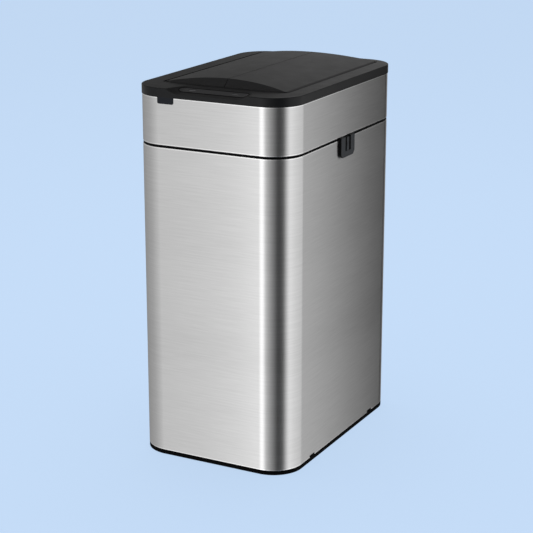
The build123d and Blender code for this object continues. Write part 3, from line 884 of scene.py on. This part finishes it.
@dataclass
class BatteryBay:
    """The cells with their raised ends, and the screws that hold the housing."""

    nub_radius: float = 2.75 * MM
    nub_height: float = 1.2 * MM
    shoulder_round: float = 0.45 * MM
    cell_gap: float = 0.2 * MM
    cell_sides: int = 40
    screw_head: float = 3.0 * MM
    head_height: float = 2.0 * MM
    head_round: float = 0.5 * MM
    shaft_radius: float = 1.4 * MM
    recess: tuple[float, float] = (3.6 * MM, 0.8 * MM)
    recess_depth: float = 1.1 * MM

    def cell(self, start: float, end: float, y: float, z: float, radius: float) -> bpy.types.Object:
        """One cell along X with a nub at its right end.

        Args:
            start: its left end.
            end: the nub's tip.
            y: where its axis is across the bay.
            z: its axis' height.
            radius: its radius.

        Returns:
            The cell.
        """
        length = end - start - self.nub_height
        made = Bench.disc("cell", (start + length / 2, y, z), radius, length, "X", self.cell_sides)
        Bench.choose(made, lambda face: face.normal.x > FACING)
        bpy.ops.mesh.inset(thickness=radius - self.nub_radius)
        bpy.ops.mesh.extrude_region_move(TRANSFORM_OT_translate={"value": (self.nub_height, 0, 0)})
        Bench.leave()
        Bench.soften(made, self.shoulder_round)
        return made

    def cells(self) -> None:
        """Two rows of two."""
        low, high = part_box("battery_cells")
        radius = (high.z - low.z) / 2
        middle = (low.z + high.z) / 2
        rows = (low.y + radius, high.y - radius)
        spans = ((low.x, 0.0), (self.cell_gap, high.x))
        parts = [self.cell(*span, row, middle, radius) for row in rows for span in spans]
        keep(Bench.join("cells_wrapped", parts), Body.HEAD, "cell_wrap", CELL, "battery_cells")

    def screw(self, x: float, y: float, bottom: float, top: float) -> bpy.types.Object:
        """One pan head with a cross recess below, and its shaft above.

        Args:
            x: where its axis is along the bay.
            y: where its axis is across the bay.
            bottom: the head's underside.
            top: the shaft's end.

        Returns:
            The screw.
        """
        middle = (x, y, bottom + self.head_height / 2)
        made = Bench.disc("screw_head", middle, self.screw_head, self.head_height)
        Bench.choose(made, lambda face: face.normal.z > FACING)
        bpy.ops.mesh.inset(thickness=self.screw_head - self.shaft_radius)
        shaft = (0, 0, top - bottom - self.head_height)
        bpy.ops.mesh.extrude_region_move(TRANSFORM_OT_translate={"value": shaft})
        Bench.leave()
        Bench.soften(made, self.head_round)
        for long, wide in (self.recess, self.recess[::-1]):
            reach = Vector((long / 2, wide / 2, self.recess_depth))
            centre = Vector((x, y, bottom))
            Bench.cut(made, Bench.box("recess", centre - reach, centre + reach))
        return made

    def screws(self) -> None:
        """One screw at each corner of the housing."""
        low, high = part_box("housing_screws")
        inset = self.screw_head
        parts = [
            self.screw(x, y, low.z, high.z)
            for x in (low.x + inset, high.x - inset)
            for y in (low.y + inset, high.y - inset)
        ]
        keep(Bench.join("screws_crosshead", parts), Body.HEAD, "rod_steel", BRIGHT_METAL, "housing_screws")

    def build(self) -> None:
        """Makes the bay's pieces."""
        self.cells()
        self.screws()


@dataclass
class LeafUndersides:
    """Sunken panels with cross ribs, seen when the leaves stand open, and the seal where the leaves meet."""

    rim: float = 7.0 * MM
    sink: float = 0.9 * MM
    ribs: int = 5
    rib_width: float = 2.2 * MM
    rib_height: float = 1.35 * MM
    rib_root: float = 0.225 * MM
    panel_round: float = 0.4 * MM
    rib_round: float = 0.3 * MM
    seal_reach: float = 0.85 * MM
    seal_sink: float = 1.2 * MM
    seal_inset: float = 1.0 * MM
    seal_slope: float = 17.0 * MM

    def panel(self, side: str, body: Body) -> None:
        """One leaf's panel.

        Args:
            side: "right" or "left".
            body: the leaf that it rides on.
        """
        low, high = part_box(f"{side}_leaf_cover")
        panel = Bench.box(f"{side}_leaf_panel", low, high)
        Bench.choose(panel, lambda face: face.normal.z < -FACING)
        bpy.ops.mesh.inset(thickness=self.rim)
        bpy.ops.mesh.extrude_region_move(TRANSFORM_OT_translate={"value": (0, 0, self.sink)})
        Bench.leave()
        Bench.soften(panel, self.panel_round)
        parts = [panel]
        step = (high.y - low.y) / (self.ribs + 1)
        for number in range(1, self.ribs + 1):
            y = low.y + number * step
            rib = Bench.box(
                "leaf_rib",
                (low.x + self.rim / 2, y - self.rib_width / 2, low.z + self.rib_root),
                (high.x - self.rim / 2, y + self.rib_width / 2, low.z + self.rib_height),
            )
            Bench.soften(rib, self.rib_round, 2)
            parts.append(rib)
        piece = Bench.join(f"{side}_leaf_panel", parts)
        keep(piece, body, "black_plastic", INNER_BLACK, f"{side}_leaf_cover")

    def meeting_seal(self) -> None:
        """A thin lip on the right leaf's inner edge that closes the gap between the leaves."""
        low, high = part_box("right_leaf")
        seal = Bench.box(
            "leaf_meeting_seal",
            (low.x - self.seal_reach, low.y + self.seal_inset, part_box("right_leaf_cover")[0].z),
            (low.x, high.y - self.seal_inset, high.z - self.seal_sink),
        )
        Bench.choose(seal, lambda face: face.normal.z > FACING)
        taper = 1 - 2 * self.seal_slope / (high.y - low.y)
        centre = (low.x, (low.y + high.y) / 2, high.z)
        bpy.ops.transform.resize(value=(1, taper, 1), center_override=centre)
        Bench.leave()
        keep(seal, Body.RIGHT_LID, "rubber", RUBBER)

    def build(self) -> None:
        """Makes both panels and the seal."""
        self.meeting_seal()
        self.panel("right", Body.RIGHT_LID)
        self.panel("left", Body.LEFT_LID)


@dataclass
class MotorEnds:
    """The bearing caps and terminals under the two motors."""

    cap_radius: float = 3.2 * MM
    cap_height: float = 1.6 * MM
    cap_round: float = 0.5 * MM
    blade: tuple[float, float, float] = (0.5 * MM, 2.4 * MM, 3.6 * MM)
    blade_spread: float = 6.4 * MM
    blade_root: float = 0.4 * MM
    blade_round: float = 0.15 * MM

    def ends(self, side: str) -> None:
        """One motor's cap and blades.

        Args:
            side: "right" or "left".
        """
        low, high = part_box(f"{side}_gearmotor")
        x, y = (low.x + high.x) / 2, (low.y + high.y) / 2
        cap = Bench.disc("motor_cap", (x, y, low.z - self.cap_height / 2), self.cap_radius, self.cap_height)
        Bench.soften(cap, self.cap_round)
        parts = [cap]
        half = Vector(self.blade) / 2
        for direction in (-1, 1):
            middle = Vector((x + direction * self.blade_spread, y, low.z - half.z + self.blade_root))
            blade = Bench.box("motor_blade", middle - half, middle + half)
            Bench.soften(blade, self.blade_round, 2)
            parts.append(blade)
        keep(Bench.join(f"{side}_motor_ends", parts), Body.HEAD, "contact_metal", BRIGHT_METAL)

    def build(self) -> None:
        """Makes both motors' ends."""
        self.ends("right")
        self.ends("left")


@dataclass
class Studio:
    """The floor, the backdrop's colour, the lamp, the cards that the steel mirrors, and the camera."""

    photo_pixels: float = 533.0
    focal_pixels: float = 1617.0
    sensor: float = 36.0
    camera_place: tuple[float, float, float] = (1.2436, -2.3648, 1.0795)
    camera_yaw: float = 27.83
    camera_pitch: float = 16.49
    floor_size: float = 60.0
    floor_glow: float = 0.88
    diffuse_light: tuple[float, float, float] = (0.75, 0.75, 0.76)
    lamp_place: tuple[float, float, float] = (-0.3, 0.6, 3.2)
    lamp_aim: tuple[float, float, float] = (0.0, 0.0, 0.4)
    lamp_size: float = 2.0
    lamp_power: float = 55.0
    card_radius: float = 1.0
    card_sides: int = 96
    card_low: float = -2.2
    card_high: float = 3.2
    card_strength: float = 2.15
    # Share of the cards' light at each height.
    card_fade: tuple[tuple[float, float], ...] = (
        (0.0, 1.0), (0.85, 1.0), (1.25, 0.55), (1.8, 0.12), (3.2, 0.08),
    )
    # Level of the cards at each angle round the bin, up to card_ceiling.
    card_ceiling: float = 2.0
    card_levels: tuple[tuple[float, float], ...] = (
        (-180, 0.44), (-160, 0.42), (-150, 0.26), (-140, 0.18), (-110, 0.34), (-60, 0.52),
        (-42, 0.69), (-27, 0.83), (-19, 0.96), (-15, 1.45), (-11, 1.8), (-5, 1.8), (3, 0.7),
        (18, 0.4), (38, 0.06), (56, 0.08), (74, 1.15), (96, 0.94), (122, 0.80), (134, 0.84),
        (140, 0.80), (145, 0.44), (149, 0.11), (154, 0.03), (164, 0.06), (180, 0.44),
    )

    def light_path(self, shader: Shader) -> Value:
        """Tells the rays that see the backdrop: from the camera, a mirror or a window.

        Args:
            shader: the tree that asks.

        Returns:
            1 for those rays and 0 for others.
        """
        seen = shader.node("ShaderNodeLightPath", output="Is Camera Ray")
        for name in ("Is Glossy Ray", "Is Transmission Ray"):
            seen = seen.at_least(shader.node("ShaderNodeLightPath", output=name))
        return seen

    def world(self) -> None:
        """A pale backdrop, and plain white light from all round."""
        world = bpy.data.worlds.new("studio")
        bpy.context.scene.world = world
        world.use_nodes = True
        shader = Shader(world.node_tree)
        colour = shader.tint(self.light_path(shader), self.diffuse_light, BACKDROP_COLOUR)
        back = shader.node("ShaderNodeBackground", None, {"Color": colour, "Strength": 1.0})
        shader.node("ShaderNodeOutputWorld", None, {"Surface": back})

    def floor(self) -> None:
        """A floor of the backdrop's colour that keeps a soft shadow."""
        Bench.clear()
        bpy.ops.mesh.primitive_plane_add(size=self.floor_size)
        floor = Bench.settle("studio_floor")
        material = bpy.data.materials.new("floor_pale")
        material.use_nodes = True
        shader = Shader(material.node_tree)
        mixed = shader.node(
            "ShaderNodeMixShader",
            None,
            {
                0: self.light_path(shader) * self.floor_glow,
                1: shader.node("ShaderNodeBsdfDiffuse", None, {"Color": (*BACKDROP_COLOUR, 1)}),
                2: shader.node("ShaderNodeEmission", None, {"Color": (*BACKDROP_COLOUR, 1)}),
            },
        )
        shader.node("ShaderNodeOutputMaterial", None, {"Surface": mixed})
        floor.data.materials.append(material)
        floor.visible_glossy = False

    def cards(self) -> None:
        """A round wall of grey cards that only mirrors see, as long as the steel needs."""
        Bench.clear()
        bpy.ops.mesh.primitive_cylinder_add(
            vertices=self.card_sides, radius=self.card_radius, depth=self.card_high - self.card_low,
            location=(0, 0, (self.card_high + self.card_low) / 2), end_fill_type="NGON",
        )
        wall = Bench.settle("studio_cards")
        Bench.choose(wall, lambda face: face.normal.z < -FACING)
        bpy.ops.mesh.delete(type="ONLY_FACE")
        Bench.leave()
        material = bpy.data.materials.new("cards_grey")
        material.use_nodes = True
        shader = Shader(material.node_tree)
        place = {0: shader.place()}
        axes = {name: shader.node("ShaderNodeSeparateXYZ", None, place, name) for name in "XYZ"}
        turn = axes["X"].angle_to(axes["Y"] * -1.0) / (2 * math.pi) + 0.5
        stops = tuple((angle / 360 + 0.5, level / self.card_ceiling) for angle, level in self.card_levels)
        ramp = shader.node("ShaderNodeValToRGB", {"stops": stops}, {0: turn})
        top = self.card_high
        fade_stops = tuple((height / top, level) for height, level in self.card_fade)
        fade = shader.node("ShaderNodeValToRGB", {"stops": fade_stops}, {0: axes["Z"] / top})
        light = {"Color": ramp, "Strength": fade * self.card_strength}
        glow = shader.node("ShaderNodeEmission", None, light)
        shader.node("ShaderNodeOutputMaterial", None, {"Surface": glow})
        wall.data.materials.append(material)
        wall.visible_camera = wall.visible_diffuse = wall.visible_shadow = False
        wall.visible_transmission = False

    def lamp(self) -> None:
        """A square soft lamp that faces the bin's middle and leaves mirrors to the cards."""
        data = bpy.data.lights.new("lamp_top", "AREA")
        data.size = self.lamp_size
        data.energy = self.lamp_power
        lamp = bpy.data.objects.new("lamp_top", data)
        bpy.context.scene.collection.objects.link(lamp)
        lamp.location = self.lamp_place
        lamp.visible_glossy = False
        aim = Vector(self.lamp_aim) - lamp.location
        lamp.rotation_euler = aim.to_track_quat("-Z", "Y").to_euler()

    def camera(self) -> None:
        """The camera, where it stood for the photograph."""
        data = bpy.data.cameras.new("camera")
        data.sensor_width = self.sensor
        data.lens = self.sensor * self.focal_pixels / self.photo_pixels
        camera = bpy.data.objects.new("camera", data)
        bpy.context.scene.collection.objects.link(camera)
        camera.location = self.camera_place
        camera.rotation_euler = (math.radians(90 - self.camera_pitch), 0, math.radians(self.camera_yaw))
        bpy.context.scene.camera = camera

    def build(self) -> None:
        """Sets the whole studio up."""
        bpy.context.scene.view_settings.view_transform = "Standard"
        self.world()
        self.floor()
        self.cards()
        self.lamp()
        self.camera()


def dress_nodes() -> None:
    """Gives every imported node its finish."""
    for finish, nodes in NODE_FINISHES.items():
        for name in nodes:
            dress(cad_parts[name], finish)


def main() -> None:
    """Builds the studio and the pieces in order."""
    logging.basicConfig(level=logging.INFO, format="%(name)s: %(message)s")
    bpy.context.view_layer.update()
    Studio().build()
    dress_nodes()
    for assembly in (SteelWraps(), SensorPanel(), BatteryBay(), LeafUndersides(), MotorEnds()):
        assembly.build()


if __name__ == "__main__":
    main()
